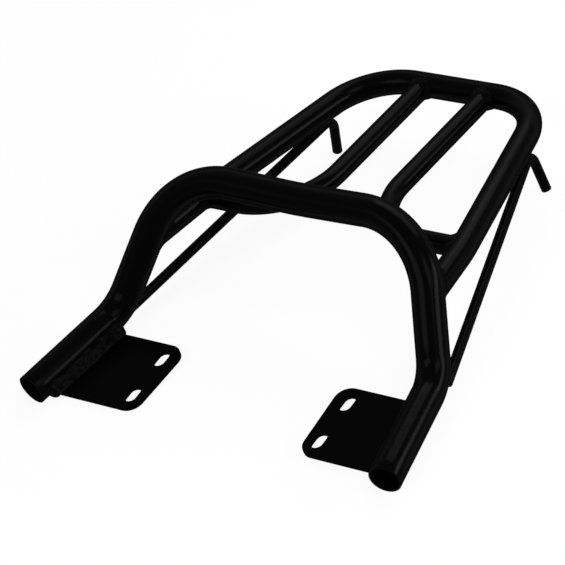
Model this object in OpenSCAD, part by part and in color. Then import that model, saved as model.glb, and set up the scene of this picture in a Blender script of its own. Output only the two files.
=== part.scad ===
// Welded tube luggage rack for a motorcycle: a front hoop with two feet, a platform with two slats,
// two slotted mounting plates and two stay rods whose ends are bent into strap hooks.
// X runs to the rider's left, Y to the rear, Z up. The mounting plates lie level.

/* [Hoop] */
// Outer diameter of the hoop's tube
hoop_d = 25; // [22:0.5:28]
// Wall of the hoop's tube
hoop_wall = 2; // [1.2:0.1:3]
// Width across the hoop's two foot bends, axis to axis
hoop_base_w = 294; // [270:1:320]
// Width across the hoop's two upper corners, axis to axis
hoop_top_w = 230; // [210:1:250]
// Height of the crossbar's axis over the axis of the feet
hoop_h = 81; // [70:1:95]
// How far the crossbar's middle is bent down
hoop_dip = 4; // [2:0.5:6]
// How far the crossbar lies behind the foot bends
hoop_lean = 76.5; // [65:0.5:90]
// Bend radius at each foot, on the tube's axis
foot_bend_r = 25; // [20:1:32]
// Bend radius at each upper corner, on the tube's axis
corner_bend_r = 69; // [55:1:75]
// Bend radius in the crossbar's middle, on the tube's axis
dip_bend_r = 405; // [200:5:600]
// Length of each foot ahead of its bend
foot_len = 97; // [92:1:115]
// How far each foot flares outward over its length
foot_flare = 17; // [5:1:25]

/* [Platform] */
// Outer diameter of the platform's tube
rail_d = 20; // [18:0.5:22]
// Wall of the platform's tube
rail_wall = 1.6; // [1:0.1:2.5]
// Where the rails meet the hoop's legs, as a share of the leg's length from the foot up
rail_joint_share = 0.5; // [0.45:0.01:0.54]
// How far inboard of the leg's axis the rail's axis meets it
rail_inset = 1.5; // [0:0.1:2]
// Width across the rails at their slight front bend, axis to axis
knee_w = 244.6; // [235:0.2:250]
// Distance of the rails' front bend behind the foot bends
knee_y = 97; // [90:1:105]
// Height of the rails' front bend over the axis of the feet
knee_h = 34; // [30:0.5:38]
// Bend radius of the rails' slight front bend
knee_bend_r = 120; // [80:5:160]
// Width across the rails where they reach the rear tube, axis to axis
rear_w = 163; // [150:1:176]
// Distance of the rear tube's axis behind the foot bends
rear_y = 279.5; // [265:0.5:300]
// Height of the rear tube's axis over the axis of the feet
rear_h = 14.5; // [10:0.5:20]
// Bend radius at each rear corner, on the tube's axis
rear_bend_r = 54.5; // [46:0.5:60]

/* [Slats] */
// Outer diameter of the slats
slat_d = 16; // [14:0.5:17]
// Wall of the slats
slat_wall = 1.5; // [1:0.1:2.5]
// Distance between the two slats, axis to axis
slat_gap = 59; // [52:1:66]
// Distance of the slats' crosswise runs behind the foot bends
slat_front_y = 98.5; // [92:0.5:104]
// Bend radius of each slat
slat_bend_r = 58; // [48:1:64]
// Height of the slats' axis over the rails' axis at their crosswise runs
slat_lift = 1.4; // [0.5:0.1:1.8]

/* [Mounting plates] */
// Thickness of the plates
plate_t = 4; // [3:0.5:4]
// Depth of the plates' top face under the axis of the feet
plate_drop = 8; // [7:0.5:8]
// Length of the plates along the rack
plate_len = 69; // [64:1:74]
// Distance from the foot bends forward to the plates' rear edge
plate_set = 17; // [15:0.5:19]
// Distance from the slots' middle line to the plate's inner edge, at the rear
slot_margin = 14; // [11:0.5:16]
// How far each inner edge moves outward from rear to front
plate_flare = 3.6; // [0:0.2:6]
// Radius of the plates' inner corners
plate_r = 12; // [6:0.5:14]

/* [Mounting slots] */
// Width of each slot
slot_w = 9.5; // [8.5:0.5:12]
// Length of each slot, end to end
slot_len = 15.5; // [13.5:0.5:18]
// Distance between a plate's two slots
slot_pitch = 39; // [36:0.5:42]
// Distance between the slots of the two plates
slot_span = 173.6; // [170:0.2:177]

/* [Stays and hooks] */
// Diameter of the stay rods
stay_d = 8; // [6:0.5:9]
// Where round the foot bend's underside the stay starts, in degrees outboard
stay_foot_roll = 4; // [-15:1:20]
// How far round the foot bend the stay starts, as a share of the bend
stay_foot_share = 0.6; // [0.3:0.05:0.75]
// Distance of each stay's seat under the rail behind the foot bends
stay_seat_y = 225; // [215:1:232]
// How far outboard of the rail's axis the stay is seated
stay_seat_out = 2; // [0:0.5:5]
// Bend radius between stay and hook, on the rod's axis
stay_bend_r = 8.5; // [8:0.5:12]
// How far the hook reaches down from the stay
hook_drop = 35; // [28:1:42]
// How far the hook's tip leans outward
hook_out = 6; // [0:0.5:9]
// How far the hook's tip leans forward
hook_lean = 2.3; // [0:0.1:5]

/* [Weld beads] */
// Leg of the beads between tubes
weld_leg = 2.8; // [2:0.1:4]
// Leg of the beads along the plates
plate_weld_leg = 7; // [4:0.1:8]
// Leg of the beads along the stay rods
stay_weld_leg = 3.4; // [2:0.1:4]
// Length of the beads that hold each stay to the foot bend
foot_weld_len = 7; // [5:0.5:9]
// Length of the beads that hold each stay to its rail
seat_weld_len = 12; // [6:1:16]
// How far a bead swells out of its straight face
weld_crown = 0.9; // [0.5:0.1:1.6]
// How much each ripple stands over the next hollow
weld_ripple = 0.6; // [0.2:0.1:1]

/* [Hidden] */
$fn = 64;

paint = [0.05, 0.05, 0.055];
hoop_r = hoop_d / 2;
rail_r = rail_d / 2;
slat_r = slat_d / 2;
stay_r = stay_d / 2;
// A bend comes out this much fuller than its straights, which run a little way into it
bend_swell = 0.05;
lap = 1;
// A bead lies this far off the tubes that it joins
bead_gap = 0.08;
// A stay lies this far off the tubes, in its beads
seat_gap = 0.3;
// A coped end keeps this far off a bend
cope_gap = 0.3;
// An open end is cut this far past the tube
cut_past = 1;
// Steps round a saddle bead, along the straight beads, and across each bead's faces
ring_steps = 40;
plate_steps = 44;
stay_steps = 10;
face_steps = 3;

// Left half of the hoop's axis
foot_end = [hoop_base_w / 2 + foot_flare, -foot_len, 0];
foot_bend = [hoop_base_w / 2, 0, 0];
corner = [hoop_top_w / 2, hoop_lean, hoop_h];
hoop_top = [0, hoop_lean, hoop_h - hoop_dip];
foot_dir = unit(foot_bend - foot_end);

// Left half of the platform's axis
leg_joint = foot_bend + (corner - foot_bend) * rail_joint_share - [rail_inset, 0, 0];
knee = [knee_w / 2, knee_y, knee_h];
rear_corner = [rear_w / 2, rear_y, rear_h];
rail_dir = unit(rear_corner - knee);
rail_out = unit(cross(rail_dir, [0, 0, 1]));
rail_down = cross(rail_dir, rail_out);

// Left slat's axis
slat_front = rail_at(slat_front_y) + [0, 0, slat_lift];
slat_corner = [slat_gap / 2, slat_front[1], slat_front[2]];
slat_rear = [slat_gap / 2, rear_y, rear_h];

// Surfaces that beads lie on: a straight bar by a point, its direction and its radius, a bent bar by
// three points of its axis, its bend radius and its radius, and a level face by its height
foot_face = [foot_end, foot_bend, corner, foot_bend_r, hoop_r];
leg_face = [foot_bend, corner, hoop_top, corner_bend_r, hoop_r];
rail_face = [leg_joint, knee, rear_corner, knee_bend_r, rail_r];
rear_face = [knee, rear_corner, flip(rear_corner), rear_bend_r, rail_r];

// Left stay's axis
stay_foot = let (a = foot_end, b = foot_bend, c = corner)
    bend_centre(a, b, c, foot_bend_r) + bend_out(a, b, c, stay_foot_share) * foot_bend_r
    + (bend_out(a, b, c, stay_foot_share) * cos(stay_foot_roll)
        + bend_normal(a, b, c) * sin(stay_foot_roll)) * (hoop_r + stay_r + seat_gap);
stay_seat = rail_at(stay_seat_y) + rail_out * stay_seat_out
    + rail_down * sqrt(pow(rail_r + stay_r + seat_gap, 2) - pow(stay_seat_out, 2));
stay_dir = unit(stay_seat - stay_foot);
hook_step = [hook_out, -hook_lean, -hook_drop];
stay_top = stay_seat + stay_dir * stay_bend_r * tan(acos(stay_dir * unit(hook_step)) / 2);
hook_tip = stay_top + hook_step;

plate_top = -plate_drop;
plate_inner = slot_span / 2 - slot_margin;
plate_rear = -plate_set;
plate_front = plate_rear - plate_len;
slot_y = (plate_rear + plate_front) / 2;

// The finished rack stands on its origin: the middle of its footprint, at its lowest point
front_reach = foot_len + hoop_r * abs(foot_dir[0]);
rear_reach = rear_y + rail_r;
low_point = hook_tip[2] - stay_r * sqrt(1 - pow(unit(hook_step)[2], 2));
placing = [0, (front_reach - rear_reach) / 2, -low_point];

function unit(v) = v / norm(v);
function flip(p) = [-p[0], p[1], p[2]];
// Point of the left rail's axis at a given Y, and X of the left foot's axis at a given Y
function rail_at(y) = knee + rail_dir * ((y - knee[1]) / rail_dir[1]);
function foot_x(y) = foot_bend[0] - foot_flare * y / foot_len;

// A bend at b between a and c: the angle it turns, the straight that it takes up, its plane's normal,
// the unit vector from its start to its centre, its centre, and the unit vector out to its axis
function bend_turn(a, b, c) = acos(unit(b - a) * unit(c - b));
function bend_cut(a, b, c, r) = r * tan(bend_turn(a, b, c) / 2);
function bend_normal(a, b, c) = unit(cross(b - a, c - b));
function bend_in(a, b, c) = cross(bend_normal(a, b, c), unit(b - a));
function bend_centre(a, b, c, r) =
    b - unit(b - a) * bend_cut(a, b, c, r) + bend_in(a, b, c) * r;
function bend_out(a, b, c, share) = let (turn = bend_turn(a, b, c) * share)
    unit(b - a) * sin(turn) - bend_in(a, b, c) * cos(turn);

module rod(p, q, r) {
    d = q - p;
    translate(p)
        rotate([0, acos(d[2] / norm(d)), atan2(d[1], d[0])])
            cylinder(h = norm(d), r = r);
}

module elbow(a, b, c, bend_r, r, swell) {
    e = -bend_in(a, b, c);
    u = unit(b - a);
    n = bend_normal(a, b, c);
    o = bend_centre(a, b, c, bend_r);
    multmatrix([
        [e[0], u[0], n[0], o[0]],
        [e[1], u[1], n[1], o[1]],
        [e[2], u[2], n[2], o[2]],
        [0, 0, 0, 1],
    ])
        rotate_extrude(angle = bend_turn(a, b, c))
            translate([bend_r, 0])
                circle(r = r + swell);
}

// Solid bar along the points p, bent at each inner point to the radii listed
module bent_bar(p, radii, r, swell = bend_swell) {
    last = len(p) - 1;
    cuts = [for (i = [0:last])
        i == 0 || i == last ? 0 : bend_cut(p[i - 1], p[i], p[i + 1], radii[i - 1]) - lap];
    for (i = [0:last - 1]) {
        u = unit(p[i + 1] - p[i]);
        rod(p[i] + u * cuts[i], p[i + 1] - u * cuts[i + 1], r);
    }
    for (i = [1:last - 1])
        elbow(p[i - 1], p[i], p[i + 1], radii[i - 1], r, swell);
}

// The same points with both ends carried on past the tube
function past_ends(p) = let (last = len(p) - 1) [for (i = [0:last])
    i == 0 ? p[0] + unit(p[0] - p[1]) * cut_past
        : i == last ? p[last] + unit(p[last] - p[last - 1]) * cut_past : p[i]];

module bent_tube(p, radii, r, wall) {
    difference() {
        bent_bar(p, radii, r);
        bent_bar(past_ends(p), radii, r - wall);
    }
}

module painted() {
    color(paint)
        translate(placing)
            children();
}

// Point of a round surface's axis that lies nearest to p
function axis_near(face, p) = len(face) == 3
    ? face[0] + face[1] * ((p - face[0]) * face[1])
    : let (
        a = face[0], b = face[1], c = face[2], r = face[3],
        u = unit(b - a),
        v = unit(c - b),
        q = p - bend_centre(a, b, c, r),
        turn = atan2(q * u, q * -bend_in(a, b, c))
    )
    turn < 0 ? a + u * ((p - a) * u)
        : turn > bend_turn(a, b, c) ? b + v * ((p - b) * v)
        : bend_centre(a, b, c, r) + bend_out(a, b, c, turn / bend_turn(a, b, c)) * r;
// Point of a surface, with the bead's gap, that lies nearest to p
function onto(face, p) = len(face) == 1 ? [p[0], p[1], face[0] + bead_gap]
    : let (near = axis_near(face, p)) near + unit(p - near) * (face[len(face) - 1] + bead_gap);

// One section of a bead: out along one face, over the crown and back along the other face
function bead_section(on_a, on_b, out, crown) = concat(
    on_a,
    [for (t = [0.25, 0.5, 0.75])
        on_a[face_steps] + (on_b[face_steps] - on_a[face_steps]) * t + out * crown * 4 * t * (1 - t)],
    [for (i = [face_steps:-1:1]) on_b[i]]
);
function corner_section(root, a, b, leg, crown, face_a, face_b) = bead_section(
    [for (i = [0:face_steps]) onto(face_a, root + a * leg * i / face_steps)],
    [for (i = [0:face_steps]) onto(face_b, root + b * leg * i / face_steps)],
    unit(a + b), crown);

function crown_at(i) = weld_crown - (i % 2) * weld_ripple;

// Triangles across one section of m points, zipped up from its root to its crown
function cap(m, open_root) = let (last = open_root ? m - 1 : m)
    [for (i = [0:floor(last / 2) - 1])
        let (j = (last - i) % m, k = last - i - 1)
        each [if (i + 1 != k) [i, i + 1, k], if (i != j) [i, k, j]]];
function reverse(f) = [f[2], f[1], f[0]];

// Solid over sections of equal length, closed into a ring or capped at both ends
module skin(sections, closed = false, open_root = false) {
    n = len(sections);
    m = len(sections[0]);
    sides = [for (i = [0:closed ? n - 1 : n - 2], j = [0:m - 1])
        let (near = i * m, far = ((i + 1) % n) * m, k = (j + 1) % m)
        each [[near + j, far + k, near + k], [near + j, far + j, far + k]]];
    ends = closed ? [] : [for (f = cap(m, open_root)) each [f, reverse(f) + (n - 1) * m * [1, 1, 1]]];
    polyhedron(points = [for (s = sections) each s], faces = concat(sides, ends), convexity = 6);
}

// How far along d from p, which lies inside a round surface, that surface is left
function way_out(face, p, d, low, high, n) = let (mid = (low + high) / 2, q = p + d * mid)
    n == 0 ? mid
        : norm(q - axis_near(face, q)) < face[len(face) - 1] + bead_gap
            ? way_out(face, p, d, mid, high, n - 1)
            : way_out(face, p, d, low, mid, n - 1);

// Bead round the end of a branch that starts at p on the main tube's axis and leaves along d
module saddle_bead(p, d, r, main) {
    side_1 = unit(cross(d, [0, 0, 1]));
    side_2 = cross(d, side_1);
    branch = [p, d, r];
    skin([for (i = [0:ring_steps - 1])
        let (
            side = side_1 * cos(360 * i / ring_steps) + side_2 * sin(360 * i / ring_steps),
            start = p + side * (r + bead_gap),
            root = start + d * way_out(main, start, d, 0, 4 * main[4], 20),
            up = unit(root - axis_near(main, root)),
            a = unit(up - side * (up * side)),
            b = unit(side - up * (up * side))
        )
        corner_section(root, a, b, weld_leg, crown_at(i), branch, main)], closed = true);
}

// Beads in the notches on both sides of a bar that lies along a round surface, from p along d
module notch_beads(p, d, r, bead_len, main) {
    bar = [p, d, r];
    for (side = [-1, 1])
        skin([for (i = [0:stay_steps])
            let (
                run = side > 0 ? i / stay_steps : 1 - i / stay_steps,
                at = p + d * bead_len * run,
                axis = axis_near(main, at),
                to_main = unit(axis - at - d * ((axis - at) * d)),
                across = cross(d, to_main) * side,
                root = r * 0.35,
                arcs = [for (k = [0:face_steps]) root + stay_weld_leg * k / face_steps],
                on_bar = [for (s = arcs) let (t = s / r * 180 / PI)
                    onto(bar, at + (to_main * cos(t) + across * sin(t)) * r)],
                on_main = [for (s = arcs) let (t = s / main[4] * 180 / PI)
                    onto(main, axis + (across * sin(t) - to_main * cos(t)) * main[4])]
            )
            concat(bead_section(on_bar, on_main, across, crown_at(i) * 0.5), [on_main[0]])],
            open_root = true);
}

module hoop_tube() {
    painted()
        bent_tube([foot_end, foot_bend, corner, hoop_top, flip(corner), flip(foot_bend), flip(foot_end)],
            [foot_bend_r, corner_bend_r, dip_bend_r, corner_bend_r, foot_bend_r], hoop_r, hoop_wall);
}

// The left half of the hoop as a solid bar, to cope the pieces that meet it
module hoop_bar() {
    bent_bar([foot_end, foot_bend, corner, hoop_top], [foot_bend_r, corner_bend_r], hoop_r, cope_gap);
}

module platform_tube() {
    painted()
        difference() {
            bent_tube([leg_joint, knee, rear_corner, flip(rear_corner), flip(knee), flip(leg_joint)],
                [knee_bend_r, rear_bend_r, rear_bend_r, knee_bend_r], rail_r, rail_wall);
            hoop_bar();
            mirror([1, 0, 0]) hoop_bar();
        }
}

module slat_left() {
    painted()
        difference() {
            bent_tube([slat_rear, slat_corner, slat_front], [slat_bend_r], slat_r, slat_wall);
            bent_bar([leg_joint, knee, rear_corner, flip(rear_corner)], [knee_bend_r, rear_bend_r],
                rail_r, cope_gap);
        }
}

module slat_right() {
    mirror([1, 0, 0]) slat_left();
}

// What rounding takes off a plate's corner at b
module corner_waste(a, b, c) {
    u = unit(a - b);
    v = unit(c - b);
    half = acos(u * v) / 2;
    centre = b + unit(u + v) * plate_r / sin(half);
    difference() {
        polygon([b - unit(u + v) * cut_past, b + u * plate_r / tan(half), centre,
            b + v * plate_r / tan(half)]);
        translate(centre) circle(r = plate_r);
    }
}

module plate_left() {
    p = [
        [foot_x(plate_rear), plate_rear],
        [plate_inner, plate_rear],
        [plate_inner + plate_flare, plate_front],
        [foot_x(plate_front), plate_front],
    ];
    painted()
        difference() {
            translate([0, 0, plate_top - plate_t])
                linear_extrude(plate_t)
                    difference() {
                        polygon(p);
                        corner_waste(p[0], p[1], p[2]);
                        corner_waste(p[1], p[2], p[3]);
                        for (end = [-1, 1])
                            translate([slot_span / 2, slot_y + end * slot_pitch / 2])
                                slot();
                    }
            hoop_bar();
        }
}

module plate_right() {
    mirror([1, 0, 0]) plate_left();
}

module slot() {
    straight = slot_len - slot_w;
    for (end = [-1, 1])
        translate([0, end * straight / 2]) circle(d = slot_w);
    square([slot_w, straight], center = true);
}

module stay_left() {
    painted()
        bent_bar([stay_foot, stay_top, hook_tip], [stay_bend_r], stay_r);
}

module stay_right() {
    mirror([1, 0, 0]) stay_left();
}

// Rail to leg
module weld_leg_left() {
    painted()
        saddle_bead(leg_joint, unit(knee - leg_joint), rail_r, leg_face);
}

module weld_leg_right() {
    mirror([1, 0, 0]) weld_leg_left();
}

// Slat to rear tube
module weld_rear_left() {
    painted()
        saddle_bead(slat_rear, unit(slat_corner - slat_rear), slat_r, rear_face);
}

module weld_rear_right() {
    mirror([1, 0, 0]) weld_rear_left();
}

// Slat to rail
module weld_rail_left() {
    painted()
        saddle_bead(slat_front, [-1, 0, 0], slat_r, rail_face);
}

module weld_rail_right() {
    mirror([1, 0, 0]) weld_rail_left();
}

// Plate to foot, in the notch between the foot and the plate's top
module weld_plate_left() {
    inward = cross([0, 0, 1], foot_dir);
    top = bead_gap + plate_top;
    reach = sqrt(pow(hoop_r + bead_gap, 2) - pow(top, 2));
    along_foot = unit([0, 0, reach] - inward * top);
    painted()
        skin([for (i = [0:plate_steps])
            let (
                y = plate_rear - plate_len * i / plate_steps,
                root = [foot_x(y), y, top] + inward * reach
            )
            corner_section(root, along_foot, inward, plate_weld_leg, crown_at(i), foot_face,
                [plate_top])]);
}

module weld_plate_right() {
    mirror([1, 0, 0]) weld_plate_left();
}

// Stay to foot bend
module weld_stay_foot_left() {
    painted()
        notch_beads(stay_foot, stay_dir, stay_r, foot_weld_len, foot_face);
}

module weld_stay_foot_right() {
    mirror([1, 0, 0]) weld_stay_foot_left();
}

// Stay to rail
module weld_stay_seat_left() {
    painted()
        notch_beads(stay_seat - stay_dir * seat_weld_len, stay_dir, stay_r, seat_weld_len, rail_face);
}

module weld_stay_seat_right() {
    mirror([1, 0, 0]) weld_stay_seat_left();
}

hoop_tube();
platform_tube();
slat_left();
slat_right();
plate_left();
plate_right();
stay_left();
stay_right();
weld_leg_left();
weld_leg_right();
weld_rear_left();
weld_rear_right();
weld_rail_left();
weld_rail_right();
weld_plate_left();
weld_plate_right();
weld_stay_foot_left();
weld_stay_foot_right();
weld_stay_seat_left();
weld_stay_seat_right();
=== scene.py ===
import math
import bpy
import bmesh
import numpy as np
from mathutils import Matrix, Vector, noise


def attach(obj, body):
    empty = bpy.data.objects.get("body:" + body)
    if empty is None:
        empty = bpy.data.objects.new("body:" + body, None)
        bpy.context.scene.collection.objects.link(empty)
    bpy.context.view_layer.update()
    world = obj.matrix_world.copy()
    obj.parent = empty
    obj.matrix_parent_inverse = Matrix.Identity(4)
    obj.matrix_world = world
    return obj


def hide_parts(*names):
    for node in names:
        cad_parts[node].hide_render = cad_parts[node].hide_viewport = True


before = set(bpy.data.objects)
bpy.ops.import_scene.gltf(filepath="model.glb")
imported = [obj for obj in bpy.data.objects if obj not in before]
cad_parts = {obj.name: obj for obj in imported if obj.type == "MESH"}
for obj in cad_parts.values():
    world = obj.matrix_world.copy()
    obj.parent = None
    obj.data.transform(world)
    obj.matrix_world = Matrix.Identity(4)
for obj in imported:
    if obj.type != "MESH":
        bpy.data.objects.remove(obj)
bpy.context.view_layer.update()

MM = 0.001

# Sizes of the rack in millimetres, as in the part's source. Only the bends of the feet are rounder than there,
# so the stays start at another share of them
HOOP_R, HOOP_WALL = 12.5, 2.0
RAIL_R, SLAT_R, STAY_R = 10.0, 8.0, 4.0
FOOT_END = np.array([164.0, -97.0, 0.0])
FOOT_BEND = np.array([147.0, 0.0, 0.0])
CORNER = np.array([115.0, 76.5, 81.0])
HOOP_TOP = np.array([0.0, 76.5, 77.0])
FOOT_BEND_R, CORNER_BEND_R, DIP_BEND_R = 42.0, 69.0, 405.0
KNEE = np.array([122.3, 97.0, 34.0])
REAR_CORNER = np.array([81.5, 279.5, 14.5])
KNEE_BEND_R, REAR_BEND_R = 120.0, 54.5
RAIL_JOINT, RAIL_INSET = 0.5, 1.5
SLAT_X, SLAT_FRONT_Y, SLAT_LIFT, SLAT_BEND_R = 29.5, 98.5, 1.4, 58.0
PLATE_TOP, PLATE_T = -8.0, 4.0
PLATE_REAR, PLATE_FRONT = -17.0, -86.0
PLATE_INNER_REAR, PLATE_INNER_FRONT, PLATE_R = 72.8, 76.4, 12.0
SLOT_X, SLOT_Y, SLOT_PITCH, SLOT_W, SLOT_LEN = 86.8, -51.5, 39.0, 9.5, 15.5
STAY_FOOT_ROLL, STAY_FOOT_SHARE, SEAT_GAP = 4.0, 0.56, 0.3
STAY_SEAT_Y, STAY_SEAT_OUT, STAY_BEND_R = 225.0, 2.0, 8.5
HOOK_STEP = np.array([6.0, -2.3, -35.0])

# Sizes of the finer shapes in millimetres
TUBE_EDGE, PLATE_EDGE = 0.35, 0.45  # broken edges
PLATE_GRIND = 9.0  # the plate's outer edge, ground to the foot's skin, stops this far short of its axis
RAIL_SUNK, SLAT_SUNK = 6.0, 3.0  # ends that reach under the welds
TOE_SUNK = -0.03  # a bead's toes lie this little under the skin


def unit(v):
    return v / np.linalg.norm(v)


def flip(p):
    return p * np.array([-1.0, 1.0, 1.0])


class Bend:
    """The bend at b between a and c, of radius r on the axis."""

    def __init__(self, a, b, c, r):
        self.a, self.b, self.c, self.r = a, b, c, r
        self.u, self.v = unit(b - a), unit(c - b)
        self.turn = math.acos(np.clip(self.u @ self.v, -1, 1))
        self.cut = r * math.tan(self.turn / 2)
        self.n = unit(np.cross(self.u, self.v))
        self.inward = np.cross(self.n, self.u)
        self.centre = b - self.u * self.cut + self.inward * r

    def out(self, angle):
        return self.u * math.sin(angle) - self.inward * math.cos(angle)

    def at(self, angle):
        return self.centre + self.out(angle) * self.r

    def near(self, p):
        q = p - self.centre
        angle = math.atan2(q @ self.u, -(q @ self.inward))
        if angle < 0:
            return self.a + self.u * ((p - self.a) @ self.u)
        if angle > self.turn:
            return self.b + self.v * ((p - self.b) @ self.v)
        return self.at(angle)


class Straight:
    """The line through p along d."""

    def __init__(self, p, d):
        self.p, self.d = p, unit(d)

    def near(self, p):
        return self.p + self.d * ((p - self.p) @ self.d)


class Round:
    """A round bar's skin, to put a bead's edge on."""

    def __init__(self, axis, r):
        self.axis, self.r = axis, r

    def outward(self, p):
        return unit(p - self.axis.near(p))

    def onto(self, p, lift=0.0):
        return self.axis.near(p) + self.outward(p) * (self.r + lift)


class Level:
    """A flat skin at the height z."""

    def __init__(self, z):
        self.z = z

    def onto(self, p, lift=0.0):
        return np.array([p[0], p[1], self.z + lift])


# Places worked out from the sizes, on the left side
LEG_JOINT = FOOT_BEND + (CORNER - FOOT_BEND) * RAIL_JOINT - np.array([RAIL_INSET, 0, 0])
RAIL_DIR = unit(REAR_CORNER - KNEE)
FOOT_DIR = unit(FOOT_BEND - FOOT_END)
foot_bend = Bend(FOOT_END, FOOT_BEND, CORNER, FOOT_BEND_R)
leg_bend = Bend(FOOT_BEND, CORNER, HOOP_TOP, CORNER_BEND_R)
knee_bend = Bend(LEG_JOINT, KNEE, REAR_CORNER, KNEE_BEND_R)
rear_bend = Bend(KNEE, REAR_CORNER, flip(REAR_CORNER), REAR_BEND_R)


def rail_at(y):
    return KNEE + RAIL_DIR * ((y - KNEE[1]) / RAIL_DIR[1])


SLAT_FRONT = rail_at(SLAT_FRONT_Y) + np.array([0, 0, SLAT_LIFT])
SLAT_CORNER = np.array([SLAT_X, SLAT_FRONT[1], SLAT_FRONT[2]])
SLAT_REAR = np.array([SLAT_X, REAR_CORNER[1], REAR_CORNER[2]])

stay_angle = foot_bend.turn * STAY_FOOT_SHARE
stay_roll = math.radians(STAY_FOOT_ROLL)
STAY_FOOT = foot_bend.at(stay_angle) + (HOOP_R + STAY_R + SEAT_GAP) * (
    foot_bend.out(stay_angle) * math.cos(stay_roll) + foot_bend.n * math.sin(stay_roll))
RAIL_OUT = unit(np.cross(RAIL_DIR, [0, 0, 1]))
RAIL_DOWN = np.cross(RAIL_DIR, RAIL_OUT)
STAY_SEAT = rail_at(STAY_SEAT_Y) + RAIL_OUT * STAY_SEAT_OUT + RAIL_DOWN * math.sqrt(
    (RAIL_R + STAY_R + SEAT_GAP) ** 2 - STAY_SEAT_OUT ** 2)
STAY_DIR = unit(STAY_SEAT - STAY_FOOT)
STAY_TOP = STAY_SEAT + STAY_DIR * STAY_BEND_R * math.tan(math.acos(STAY_DIR @ unit(HOOK_STEP)) / 2)
HOOK_TIP = STAY_TOP + HOOK_STEP

# The frame's origin lies in the middle of the length, level with the lowest point
front_reach = -FOOT_END[1] + HOOP_R * abs(FOOT_DIR[0])
low_point = HOOK_TIP[2] - STAY_R * math.sqrt(1 - unit(HOOK_STEP)[2] ** 2)
PLACING = np.array([0, (front_reach - REAR_CORNER[1] - RAIL_R) / 2, -low_point])


# Materials
def add(nodes, kind, **values):
    n = nodes.new(kind)
    for key, value in values.items():
        if key in n.inputs.keys():
            n.inputs[key].default_value = value
        else:
            setattr(n, key, value)
    return n


def new_material(name):
    m = bpy.data.materials.new(name)
    m.use_nodes = True
    nodes, links = m.node_tree.nodes, m.node_tree.links
    return m, nodes, links, nodes["Principled BSDF"]


def mapped(nodes, links, source, from_min, from_max, to_min, to_max):
    n = nodes.new("ShaderNodeMapRange")
    for key, value in zip(("From Min", "From Max", "To Min", "To Max"), (from_min, from_max, to_min, to_max)):
        n.inputs[key].default_value = value
    links.new(source, n.inputs["Value"])
    return n.outputs["Result"]


def background_rays(nodes, links):
    """1 for the rays that see the pale background: the camera's, and those that paint, metal or glass sends on."""
    path = nodes.new("ShaderNodeLightPath")
    thrown = add(nodes, "ShaderNodeMath", operation="MAXIMUM")
    links.new(path.outputs["Is Glossy Ray"], thrown.inputs[0])
    links.new(path.outputs["Is Transmission Ray"], thrown.inputs[1])
    seen = add(nodes, "ShaderNodeMath", operation="MAXIMUM")
    links.new(path.outputs["Is Camera Ray"], seen.inputs[0])
    links.new(thrown.outputs[0], seen.inputs[1])
    return seen.outputs[0]


BLACK = (0.0003, 0.0003, 0.0004, 1)


def paint_material(name, rough_low, rough_high, peel, grit, gloss=0.017):
    m, nodes, links, bsdf = new_material(name)
    bsdf.inputs["Base Color"].default_value = BLACK
    bsdf.inputs["Specular IOR Level"].default_value = gloss
    bsdf.inputs["IOR"].default_value = 1.5
    place = add(nodes, "ShaderNodeTexCoord").outputs["Object"]
    # slow drift of sheen over the piece, as the powder flowed out
    drift = add(nodes, "ShaderNodeTexNoise", Scale=22.0, Detail=3.0, Roughness=0.55)
    links.new(place, drift.inputs["Vector"])
    sheen = mapped(nodes, links, drift.outputs["Fac"], 0.32, 0.68, rough_low, rough_high)
    # seen edge on, the grit of the coat takes its gloss away
    edge = nodes.new("ShaderNodeLayerWeight")
    dull = mapped(nodes, links, edge.outputs["Facing"], 0.38, 0.6, 0.0, 0.7)
    rough = add(nodes, "ShaderNodeMath", operation="ADD")
    links.new(sheen, rough.inputs[0])
    links.new(dull, rough.inputs[1])
    links.new(rough.outputs[0], bsdf.inputs["Roughness"])
    # orange peel of the coat, about 2 mm across, over fine grit
    coat = add(nodes, "ShaderNodeTexNoise", Scale=420.0, Detail=1.5, Roughness=0.4)
    fine = add(nodes, "ShaderNodeTexNoise", Scale=2400.0, Detail=2.0, Roughness=0.6)
    links.new(place, coat.inputs["Vector"])
    links.new(place, fine.inputs["Vector"])
    bump_peel = add(nodes, "ShaderNodeBump", Strength=peel, Distance=0.0002)
    bump_grit = add(nodes, "ShaderNodeBump", Strength=grit, Distance=0.00005)
    links.new(coat.outputs["Fac"], bump_peel.inputs["Height"])
    links.new(fine.outputs["Fac"], bump_grit.inputs["Height"])
    links.new(bump_peel.outputs["Normal"], bump_grit.inputs["Normal"])
    links.new(bump_grit.outputs["Normal"], bsdf.inputs["Normal"])
    return m


PAINT = paint_material("black_coat", 0.17, 0.24, 0.25, 0.12)
PAINT_WELD = paint_material("black_coat_weld", 0.24, 0.34, 0.25, 0.12)
PAINT_BEAD = paint_material("black_coat_bead", 0.34, 0.46, 0.25, 0.12, gloss=0.016)
PAINT_PLATE = paint_material("black_coat_plate", 0.34, 0.42, 0.22, 0.14, gloss=0.008)
PAINT_BORE = paint_material("black_coat_bore", 0.55, 0.7, 0.5, 0.4, gloss=0.008)


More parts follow.
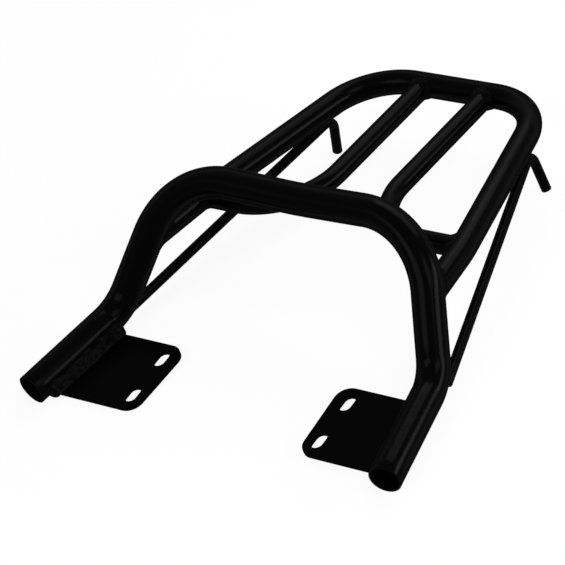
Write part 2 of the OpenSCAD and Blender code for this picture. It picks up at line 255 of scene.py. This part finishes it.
# Objects
def make_object(name, verts, faces, materials, face_mats, sharp=None):
    mesh = bpy.data.meshes.new(name)
    mesh.from_pydata([tuple((np.asarray(v) + PLACING) * MM) for v in verts], [], faces)
    for m in materials:
        mesh.materials.append(m)
    mesh.polygons.foreach_set("material_index", face_mats)
    mesh.polygons.foreach_set("use_smooth", [True] * len(mesh.polygons))
    bm = bmesh.new()
    bm.from_mesh(mesh)
    bmesh.ops.recalc_face_normals(bm, faces=bm.faces)
    bm.to_mesh(mesh)
    bm.free()
    if sharp is not None:
        mesh.set_sharp_from_angle(angle=math.radians(sharp))
    mesh.update()
    ob = bpy.data.objects.new(name, mesh)
    bpy.context.scene.collection.objects.link(ob)
    return ob


def settle(ob, *nodes):
    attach(ob, "root")
    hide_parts(*nodes)


def pair(name, verts, faces, materials, mats, sharp, node):
    """The left piece as made and the right piece as its mirror image."""
    settle(make_object(f"{name}_left", verts, faces, materials, mats, sharp), f"{node}_left")
    verts = [flip(np.asarray(v)) for v in verts]
    faces = [tuple(reversed(f)) for f in faces]
    settle(make_object(f"{name}_right", verts, faces, materials, mats, sharp), f"{node}_right")


# Tubes: a section is swept along the bent axis
STRAIGHT_STEP, ARC_STEP = 9.0, 3.0  # millimetres and degrees between rings
SHARP = 40  # degrees, over which an edge is drawn sharp
OUTER_SHARE, BULGE_SHARE = 0.2, 0.3  # of a bend's flattening: on its outer side, and out to its flanks


def stations(points, radii, ovals):
    """Points, tangents, flattening and bend direction along a bent axis."""
    bends = [Bend(points[i - 1], points[i], points[i + 1], radii[i - 1]) for i in range(1, len(points) - 1)]
    out = []

    def straight(p, q, skip_first):
        n = max(2, int(np.linalg.norm(q - p) / STRAIGHT_STEP) + 1)
        for i in range(1 if skip_first else 0, n + 1):
            out.append((p + (q - p) * i / n, unit(q - p), 0.0, None))

    start = points[0]
    for k, b in enumerate(bends):
        straight(start, b.b - b.u * b.cut, k > 0)
        n = max(2, int(math.degrees(b.turn) / ARC_STEP) + 1)
        for i in range(1, n + 1):
            t = i / n
            ang = b.turn * t
            tangent = b.u * math.cos(ang) + b.inward * math.sin(ang)
            flat = ovals[k] * math.sin(math.pi * t) ** 0.7 if i < n else 0.0
            out.append((b.at(ang), tangent, flat, b.out(ang)))
        start = b.b + b.v * b.cut
    straight(start, points[-1], len(bends) > 0)
    return out


def tube_faces(base, rows, sides, inside=False):
    faces = []
    for j in range(rows - 1):
        for i in range(sides):
            a, b = base + j * sides + i, base + j * sides + (i + 1) % sides
            faces.append((b, a, a + sides, b + sides) if inside else (a, b, b + sides, a + sides))
    return faces


def swept(points, radii, r, ovals, sides=48, broken_ends=False, wall=0.0):
    """A tube or rod: its points, faces and each face's material, which is 1 in the bore. A wall gives it a bore.
    ovals are the shares by which the bends have flattened."""
    line = stations(points, radii, ovals)
    prev = line[0][1]
    x = unit(np.cross(prev, [0.13, 0.21, 1.0]))
    frames = []
    for p, t, flat, out in line:
        axis = np.cross(prev, t)
        s = np.linalg.norm(axis)
        if s > 1e-9:
            ang = math.atan2(s, prev @ t)
            k = axis / s
            x = x * math.cos(ang) + np.cross(k, x) * math.sin(ang) + k * (k @ x) * (1 - math.cos(ang))
        x = unit(x - t * (x @ t))
        frames.append((p, t, x, np.cross(t, x), flat, out))
        prev = t

    def ring(place, rad, shift=0.0):
        p, t, ex, ey, flat, out = place
        pts = []
        for i in range(sides):
            a = 2 * math.pi * i / sides
            v = (ex * math.cos(a) + ey * math.sin(a)) * rad
            if flat:
                # the inner side of a bend gives way, the outer side hardly does
                depth = v @ out
                give = flat * (1.0 if depth < 0 else OUTER_SHARE)
                v = v - out * depth * give + (v - out * depth) * flat * BULGE_SHARE
            pts.append(p + t * shift + v)
        return pts

    first, last = frames[0], frames[-1]
    rings = [ring(f, r) for f in frames]
    if broken_ends:
        part = TUBE_EDGE * 0.3
        rings = [ring(first, r - TUBE_EDGE), ring(first, r - part, part), ring(first, r, TUBE_EDGE)] + \
            rings[1:-1] + \
            [ring(last, r, -TUBE_EDGE), ring(last, r - part, -part), ring(last, r - TUBE_EDGE)]
    verts = [v for rg in rings for v in rg]
    faces = tube_faces(0, len(rings), sides)
    mats = [0] * len(faces)
    end = (len(rings) - 1) * sides
    if wall > 0:
        bore = r - wall
        inner = [ring(first, bore + TUBE_EDGE), ring(first, bore, TUBE_EDGE)] + \
            [ring(f, bore) for f in frames[1:-1]] + \
            [ring(last, bore, -TUBE_EDGE), ring(last, bore + TUBE_EDGE)]
        base = len(verts)
        verts += [v for rg in inner for v in rg]
        faces += tube_faces(base, len(inner), sides, inside=True)
        mats += [1] * (len(inner) - 1) * sides
        inner_end = base + (len(inner) - 1) * sides
        for i in range(sides):
            k = (i + 1) % sides
            faces.append((base + i, base + k, k, i))
            faces.append((end + i, end + k, inner_end + k, inner_end + i))
        mats += [0, 0] * sides
    else:
        faces.append(tuple(range(sides))[::-1])
        faces.append(tuple(end + i for i in range(sides)))
        mats += [0, 0]
    return verts, faces, mats


v, f, m = swept([FOOT_END, FOOT_BEND, CORNER, HOOP_TOP, flip(CORNER), flip(FOOT_BEND), flip(FOOT_END)],
                [FOOT_BEND_R, CORNER_BEND_R, DIP_BEND_R, CORNER_BEND_R, FOOT_BEND_R], HOOP_R,
                [0.08, 0.04, 0.0, 0.04, 0.08], sides=64, broken_ends=True, wall=HOOP_WALL)
settle(make_object("hoop", v, f, [PAINT, PAINT_BORE], m, SHARP), "hoop_tube")

# each rail starts a little inside the leg's skin, under its weld
rail_start = LEG_JOINT + unit(KNEE - LEG_JOINT) * RAIL_SUNK
v, f, m = swept([rail_start, KNEE, REAR_CORNER, flip(REAR_CORNER), flip(KNEE), flip(rail_start)],
                [KNEE_BEND_R, REAR_BEND_R, REAR_BEND_R, KNEE_BEND_R], RAIL_R, [0.03] * 4, sides=56)
settle(make_object("platform", v, f, [PAINT], m, SHARP), "platform_tube")

v, f, m = swept([SLAT_REAR - np.array([0, SLAT_SUNK, 0]), SLAT_CORNER, SLAT_FRONT - np.array([SLAT_SUNK, 0, 0])],
                [SLAT_BEND_R], SLAT_R, [0.03])
pair("slat", v, f, [PAINT], m, SHARP, "slat")

v, f, m = swept([STAY_FOOT, STAY_TOP, HOOK_TIP], [STAY_BEND_R], STAY_R, [0.04], sides=36, broken_ends=True)
pair("stay", v, f, [PAINT], m, SHARP, "stay")


# Plates: a flat outline with slots, thickened, with broken edges
def arc(centre, r, a0, a1, n):
    return [np.array([centre[0] + r * math.cos(a), centre[1] + r * math.sin(a)])
            for a in np.linspace(a0, a1, n)]


def rounded(a, b, c, r, n=14):
    """The arc that rounds the corner at b between a and c."""
    u, w = unit(a - b), unit(c - b)
    half = math.acos(np.clip(u @ w, -1, 1)) / 2
    centre = b + unit(u + w) * r / math.sin(half)
    p, q = b + u * r / math.tan(half), b + w * r / math.tan(half)
    a0 = math.atan2(*(p - centre)[::-1])
    a1 = math.atan2(*(q - centre)[::-1])
    if a1 - a0 > math.pi:
        a1 -= 2 * math.pi
    if a1 - a0 < -math.pi:
        a1 += 2 * math.pi
    return arc(centre, r, a0, a1, n)


def foot_x(y):
    return FOOT_BEND[0] - (FOOT_END[0] - FOOT_BEND[0]) * y / -FOOT_END[1]


def plate_loops():
    corners = [np.array([foot_x(PLATE_REAR) - PLATE_GRIND, PLATE_REAR]), np.array([PLATE_INNER_REAR, PLATE_REAR]),
               np.array([PLATE_INNER_FRONT, PLATE_FRONT]), np.array([foot_x(PLATE_FRONT) - PLATE_GRIND, PLATE_FRONT])]
    loops = [[corners[0]] + rounded(*corners[:3], PLATE_R) + rounded(*corners[1:], PLATE_R) + [corners[3]]]
    half = (SLOT_LEN - SLOT_W) / 2
    for end in (-1, 1):
        c = np.array([SLOT_X, SLOT_Y + end * SLOT_PITCH / 2])
        loops.append(arc(c + [0, half], SLOT_W / 2, 0, math.pi, 16) +
                     arc(c - [0, half], SLOT_W / 2, math.pi, 2 * math.pi, 16))
    return loops


def plate():
    curve = bpy.data.curves.new("plate", "CURVE")
    curve.dimensions = "2D"
    curve.fill_mode = "BOTH"
    curve.extrude = (PLATE_T / 2 - PLATE_EDGE) * MM
    curve.bevel_depth = PLATE_EDGE * MM
    curve.bevel_resolution = 3
    curve.offset = -PLATE_EDGE * MM
    for loop in plate_loops():
        s = curve.splines.new("POLY")
        s.points.add(len(loop) - 1)
        for point, xy in zip(s.points, loop):
            point.co = ((xy[0] + PLACING[0]) * MM, (xy[1] + PLACING[1]) * MM, 0, 1)
        s.use_cyclic_u = True
    ob = bpy.data.objects.new("plate_shape", curve)
    bpy.context.scene.collection.objects.link(ob)
    bpy.context.view_layer.update()
    mesh = bpy.data.meshes.new_from_object(ob.evaluated_get(bpy.context.evaluated_depsgraph_get()))
    bpy.data.objects.remove(ob)
    height = (PLATE_TOP - PLATE_T / 2 + PLACING[2]) * MM
    mesh.transform(Matrix.Translation((0, 0, height)))
    bm = bmesh.new()
    bm.from_mesh(mesh)
    bmesh.ops.remove_doubles(bm, verts=bm.verts, dist=1e-6)
    bm.to_mesh(mesh)
    bm.free()
    mesh.materials.clear()
    mesh.materials.append(PAINT_PLATE)
    mesh.polygons.foreach_set("use_smooth", [abs(q.normal.z) < 0.999 for q in mesh.polygons])
    return mesh


for side in ("left", "right"):
    mesh = plate()
    if side == "right":
        mesh.transform(Matrix.Diagonal((-1, 1, 1, 1)))
        mesh.flip_normals()
    mesh.name = f"plate_{side}"
    ob = bpy.data.objects.new(f"plate_sheet_{side}", mesh)
    bpy.context.scene.collection.objects.link(ob)
    settle(ob, f"plate_{side}")


# Weld beads: stacked ripples whose toes lie on both pieces
class Ripple:
    """Height and width of a bead along its run, from overlapping puddles of uneven size."""

    STRAY, HIGH, WIDE = 0.22, 0.16, 0.10  # shares by which the puddles differ in place, height and width
    BOW = 0.75  # of the pitch, by which a puddle's front edge bows forward in the middle of the bead
    STEP, DIP = 0.32, 0.08  # height of a puddle's front edge over the last one, and of its back under it

    def __init__(self, length, pitch, seed, ring):
        """A ring runs on into its own start."""
        rng = np.random.default_rng(seed)
        n = max(3, round(length / pitch))
        self.starts = (np.arange(n) + rng.uniform(-self.STRAY, self.STRAY, n)) * length / n
        self.high = 1 + rng.uniform(-self.HIGH, self.HIGH, n)
        self.wide = 1 + rng.uniform(-self.WIDE, self.WIDE, n)
        self.length, self.ring, self.pitch = length, ring, length / n

    def __call__(self, s, u):
        q = s - self.pitch * self.BOW * (1 - (2 * u - 1) ** 2)
        if self.ring:
            q %= self.length
            d = (q - self.starts) % self.length
        else:
            d = q - self.starts
            d[d < 0] += 1e9
        k = int(np.argmin(d))
        t = min(1.0, d[k] / self.pitch)
        step = (1 - t) ** 2 * self.STEP - self.DIP
        return self.high[k] * (1 - step), self.wide[k]


def bead_mesh(sections, closed):
    n, m = len(sections), len(sections[0])
    verts = [p for s in sections for p in s]
    faces = []
    for i in range(n if closed else n - 1):
        for j in range(m):
            a, b = i * m + j, i * m + (j + 1) % m
            c, d = ((i + 1) % n) * m + (j + 1) % m, ((i + 1) % n) * m + j
            faces.append((a, d, c, b))
    if not closed:
        faces.append(tuple(range(m)))
        faces.append(tuple((n - 1) * m + j for j in range(m))[::-1])
    return verts, faces


LUMPS = ((0.15, 1.0), (0.3, 0.35), (0.6, 0.06))  # how often slag and spatter come per millimetre, and how high


def bead_section(toe_a, toe_b, root, crown, relief, ripple, s, across=12, rough=0.0):
    """From one toe over the crown to the other, then back through the root, which is sunk out of sight.
    A crown under nothing is a hollow bead. relief is how strongly its ripples stand out, rough its lumps."""
    out = unit((toe_a + toe_b) / 2 - root)
    pts = []
    for i in range(across + 1):
        u = i / across
        high, _ = ripple(s, u)
        p = toe_a + (toe_b - toe_a) * u
        h = (crown + relief * (high - 1)) * (4 * u * (1 - u)) ** 0.75
        if rough:
            lumps = sum(share * noise.noise(Vector(p * often)) for often, share in LUMPS)
            h += rough * lumps * (4 * u * (1 - u)) ** 0.4
        pts.append(p + out * h)
    pts.append(root - out * 0.4)
    return pts


def weld_pair(name, shape, node, paint=PAINT_WELD):
    verts, faces = shape
    pair(name, verts, faces, [paint], [0] * len(faces), None, node)


def saddle(p, d, r, main, leg, crown, relief, pitch, seed, steps=300, halvings=22):
    """Bead round a branch that starts at p on the main tube's axis and leaves along d."""
    d = unit(d)
    e1 = unit(np.cross(d, [0, 0, 1]))
    e2 = np.cross(d, e1)
    branch = Round(Straight(p, d), r)
    roots = []
    for i in range(steps):
        a = 2 * math.pi * i / steps
        side = e1 * math.cos(a) + e2 * math.sin(a)
        start = p + side * r
        low, high = 0.0, 4 * main.r
        for _ in range(halvings):
            mid = (low + high) / 2
            q = start + d * mid
            if np.linalg.norm(q - main.axis.near(q)) < main.r:
                low = mid
            else:
                high = mid
        roots.append((start + d * low, side))
    gaps = [np.linalg.norm(roots[i][0] - roots[i - 1][0]) for i in range(1, steps)]
    run = np.concatenate([[0], np.cumsum(gaps)])
    total = run[-1] + np.linalg.norm(roots[0][0] - roots[-1][0])
    ripple = Ripple(total, pitch, seed, ring=True)
    sections = []
    for (root, side), s in zip(roots, run):
        up = main.outward(root)
        a = unit(up - side * (up @ side))
        b = unit(side - up * (up @ side))
        _, wide = ripple(s, 0.5)
        toe_a = branch.onto(root + a * leg * wide, TOE_SUNK)
        toe_b = main.onto(root + b * leg * wide, TOE_SUNK)
        sections.append(bead_section(toe_a, toe_b, root, crown, relief, ripple, s))
    return bead_mesh(sections, closed=True)


leg_skin = Round(leg_bend, HOOP_R)
rail_skin = Round(knee_bend, RAIL_R)
rear_skin = Round(rear_bend, RAIL_R)
foot_skin = Round(foot_bend, HOOP_R)
weld_pair("bead_leg", saddle(LEG_JOINT, KNEE - LEG_JOINT, RAIL_R, leg_skin,
                             leg=3.6, crown=-0.2, relief=0.55, pitch=2.6, seed=3), "weld_leg")
weld_pair("bead_rear", saddle(SLAT_REAR, SLAT_CORNER - SLAT_REAR, SLAT_R, rear_skin,
                              leg=3.4, crown=0.15, relief=0.6, pitch=2.8, seed=5), "weld_rear")
weld_pair("bead_rail", saddle(SLAT_FRONT, np.array([-1.0, 0, 0]), SLAT_R, rail_skin,
                              leg=4.2, crown=-0.7, relief=0.5, pitch=2.6, seed=8), "weld_rail")


def plate_bead():
    """The broad lumpy bead along the foot on the plate's top, which runs over the plate's edge at both ends."""
    over_rear, over_front = 7.0, 3.4  # past the plate's ends
    up_foot, on_plate, sunk = 11.5, 7.8, 2.4  # width on each skin, and depth of the hidden root
    steps = 340
    inward = np.cross([0, 0, 1], FOOT_DIR)
    reach = math.sqrt(HOOP_R ** 2 - PLATE_TOP ** 2)
    into_root = unit(np.array([0, 0, reach]) - inward * PLATE_TOP)
    low = math.atan2(PLATE_TOP, reach)
    length = PLATE_REAR - PLATE_FRONT + over_rear + over_front
    ripple = Ripple(length, pitch=4.2, seed=21, ring=False)
    top = Level(PLATE_TOP)
    sections = []
    for i in range(steps + 1):
        s = length * i / steps
        y = PLATE_REAR + over_rear - s
        root = np.array([foot_x(y), y, PLATE_TOP]) + inward * reach
        past = max(0.0, 1 - s / over_rear, 1 - (length - s) / over_front)
        fade = math.sqrt(max(0.0, 1.0 - past ** 2)) * 0.94 + 0.06
        wander = 1 + 0.24 * noise.noise(Vector((s * 0.09, 3.1, 0))) + 0.04 * noise.noise(Vector((s * 0.2, 7.7, 0)))
        high = low + up_foot * wander * (0.35 + 0.65 * fade) / HOOP_R
        axis = root - inward * reach - np.array([0, 0, PLATE_TOP])
        rim = inward * math.cos(high) + np.array([0, 0, math.sin(high)])
        toe_a = foot_skin.onto(axis + HOOP_R * rim, TOE_SUNK)
        toe_b = top.onto(root + inward * on_plate * wander * fade, TOE_SUNK - 1.6 * past)
        deep = foot_skin.onto(root - into_root * sunk, -0.4)
        sections.append(bead_section(toe_a, toe_b, deep, -0.3 * fade, 0.03 * fade, ripple, s,
                                     across=30, rough=0.75 * fade))
    return bead_mesh(sections, closed=False)


weld_pair("bead_plate", plate_bead(), "weld_plate", PAINT_BEAD)


def notch_beads(p, d, r, start, length, main, seed, leg=3.4, steps=60):
    """Beads in the notches on both sides of a rod that lies along a round skin."""
    rod = Round(Straight(p, d), r)
    verts, faces = [], []
    for side in (-1, 1):
        ripple = Ripple(length, pitch=2.3, seed=seed + side, ring=False)
        sections = []
        for i in range(steps + 1):
            s = length * i / steps
            at = p + d * (start + s)
            axis = main.axis.near(at)
            to_main = unit(axis - at - d * ((axis - at) @ d))
            across = np.cross(d, to_main) * side
            fade = min(1.0, (s + 0.3) / 2.0, (length - s + 0.3) / 2.0) ** 0.5
            far = r * 0.35 + leg * fade
            rod_side = to_main * math.cos(far / r) + across * math.sin(far / r)
            main_side = across * math.sin(far / main.r) - to_main * math.cos(far / main.r)
            on_rod = rod.onto(at + rod_side * r, TOE_SUNK)
            on_main = main.onto(axis + main_side * main.r, TOE_SUNK)
            root = at + to_main * (r + SEAT_GAP / 2)
            sections.append(bead_section(on_rod, on_main, root, 0.55 * fade, 0.55 * fade, ripple, s, across=8))
        v, f = bead_mesh(sections, closed=False)
        if side < 0:
            f = [tuple(reversed(q)) for q in f]
        faces += [tuple(k + len(verts) for k in q) for q in f]
        verts += v
    return verts, faces


weld_pair("bead_stay_foot", notch_beads(STAY_FOOT, STAY_DIR, STAY_R, start=0.0, length=7.0,
                                        main=foot_skin, seed=31), "weld_stay_foot")
weld_pair("bead_stay_seat", notch_beads(STAY_SEAT, STAY_DIR, STAY_R, start=-12.0, length=12.0,
                                        main=rail_skin, seed=41), "weld_stay_seat")

# Stage: a white floor that the feet's front ends and the hook tips touch, at the tilt at which the rack would lie
FLOOR_SHADE = (0.28, 0.28, 0.28, 1)  # as the object is lit by it
FLOOR_WHITE = (0.9, 0.9, 0.9, 1)  # as the background rays see it
GLOW_SHARE = 0.92  # of what they see, the rest being lit floor that keeps the shadow
FLOOR_SIZE, FLOOR_GAP = 40, 0.0002  # metres
contact_front = FOOT_END + PLACING - np.array([0, 0, HOOP_R])
contact_rear = HOOK_TIP + PLACING
slope = math.atan2(contact_front[2], contact_rear[1] - contact_front[1])
bpy.ops.mesh.primitive_plane_add(size=FLOOR_SIZE)
floor = bpy.context.object
floor.name = "floor"
floor.rotation_euler = (-slope, 0, 0)
floor.location = (0, contact_rear[1] * MM, -FLOOR_GAP)
floor_paint, nodes, links, bsdf = new_material("floor_white")
bsdf.inputs["Roughness"].default_value = 0.9
seen = background_rays(nodes, links)
tone = add(nodes, "ShaderNodeMix", data_type="RGBA")
tone.inputs[6].default_value = FLOOR_SHADE
tone.inputs[7].default_value = FLOOR_WHITE
links.new(seen, tone.inputs[0])
links.new(tone.outputs[2], bsdf.inputs["Base Color"])
glow = add(nodes, "ShaderNodeEmission", Strength=1.0)
share = add(nodes, "ShaderNodeMath", operation="MULTIPLY")
share.inputs[1].default_value = GLOW_SHARE
blend = nodes.new("ShaderNodeMixShader")
links.new(seen, share.inputs[0])
links.new(share.outputs[0], blend.inputs[0])
links.new(bsdf.outputs[0], blend.inputs[1])
links.new(glow.outputs[0], blend.inputs[2])
# from below the floor is clear, so that the rack's underside can be seen
face = nodes.new("ShaderNodeNewGeometry")
clear = nodes.new("ShaderNodeBsdfTransparent")
whole = nodes.new("ShaderNodeMixShader")
links.new(face.outputs["Backfacing"], whole.inputs[0])
links.new(blend.outputs[0], whole.inputs[1])
links.new(clear.outputs[0], whole.inputs[2])
links.new(whole.outputs[0], nodes["Material Output"].inputs["Surface"])
floor.data.materials.append(floor_paint)

ROOM_LIGHT, ROOM_SEEN = 0.1, 0.94  # the world's level as light, and as the background rays see it
world = bpy.data.worlds.new("studio")
bpy.context.scene.world = world
world.use_nodes = True
nodes, links = world.node_tree.nodes, world.node_tree.links
room = nodes["Background"]
room.inputs["Color"].default_value = (1, 1, 1, 1)
level = add(nodes, "ShaderNodeMix", data_type="FLOAT")
level.inputs[2].default_value = ROOM_LIGHT
level.inputs[3].default_value = ROOM_SEEN
links.new(background_rays(nodes, links), level.inputs[0])
links.new(level.outputs[0], room.inputs["Strength"])


# Lamps
def lamp(name, azimuth, elevation, wide, tall, radiance, distance=2.2):
    """A softbox by the direction and angles at which the rack sees it, in degrees from the rear towards +X and up."""
    a, e = math.radians(azimuth), math.radians(elevation)
    data = bpy.data.lights.new(name, "AREA")
    data.shape = "RECTANGLE"
    data.size = 2 * distance * math.tan(math.radians(wide / 2))
    data.size_y = 2 * distance * math.tan(math.radians(tall / 2))
    data.energy = radiance * math.pi * data.size * data.size_y
    ob = bpy.data.objects.new(name, data)
    ob.location = Vector((math.sin(a) * math.cos(e), math.cos(a) * math.cos(e), math.sin(e))) * distance
    ob.rotation_euler = ob.location.to_track_quat("Z", "Y").to_euler()
    bpy.context.scene.collection.objects.link(ob)


lamp("softbox_rear", azimuth=-1, elevation=46, wide=44, tall=28, radiance=4.2)
lamp("softbox_right", azimuth=67, elevation=15, wide=42, tall=18, radiance=12.0)
lamp("softbox_front", azimuth=-165, elevation=47, wide=38, tall=22, radiance=4.8)
lamp("softbox_high", azimuth=95, elevation=47, wide=20, tall=26, radiance=5.0)

# Camera: fitted to the photograph's outlines, rolled as it was
AZIMUTH, ELEVATION, ROLL = math.radians(47.76), math.radians(38.17), math.radians(-22.08)
DISTANCE, ASIDE, ABOVE = 2451.83, 24.07, 38.76  # millimetres
FOCAL_PIXELS, PHOTO_PIXELS, SENSOR = 3306.8, 565, 36
back = np.array([math.sin(AZIMUTH) * math.cos(ELEVATION), -math.cos(AZIMUTH) * math.cos(ELEVATION),
                 math.sin(ELEVATION)])
right = np.array([math.cos(AZIMUTH), math.sin(AZIMUTH), 0])
up = np.cross(back, right)
place = (back * DISTANCE + right * ASIDE + up * ABOVE + PLACING) * MM
rolled_right = right * math.cos(ROLL) + up * math.sin(ROLL)
rolled_up = up * math.cos(ROLL) - right * math.sin(ROLL)
camera_data = bpy.data.cameras.new("camera")
camera = bpy.data.objects.new("camera", camera_data)
bpy.context.scene.collection.objects.link(camera)
camera.matrix_world = Matrix([*zip(rolled_right, rolled_up, back, place), (0, 0, 0, 1)])
camera_data.sensor_fit = "HORIZONTAL"
camera_data.sensor_width = SENSOR
camera_data.lens = FOCAL_PIXELS * SENSOR / PHOTO_PIXELS
camera_data.clip_end = 50
bpy.context.scene.camera = camera
bpy.context.scene.view_settings.view_transform = "Standard"
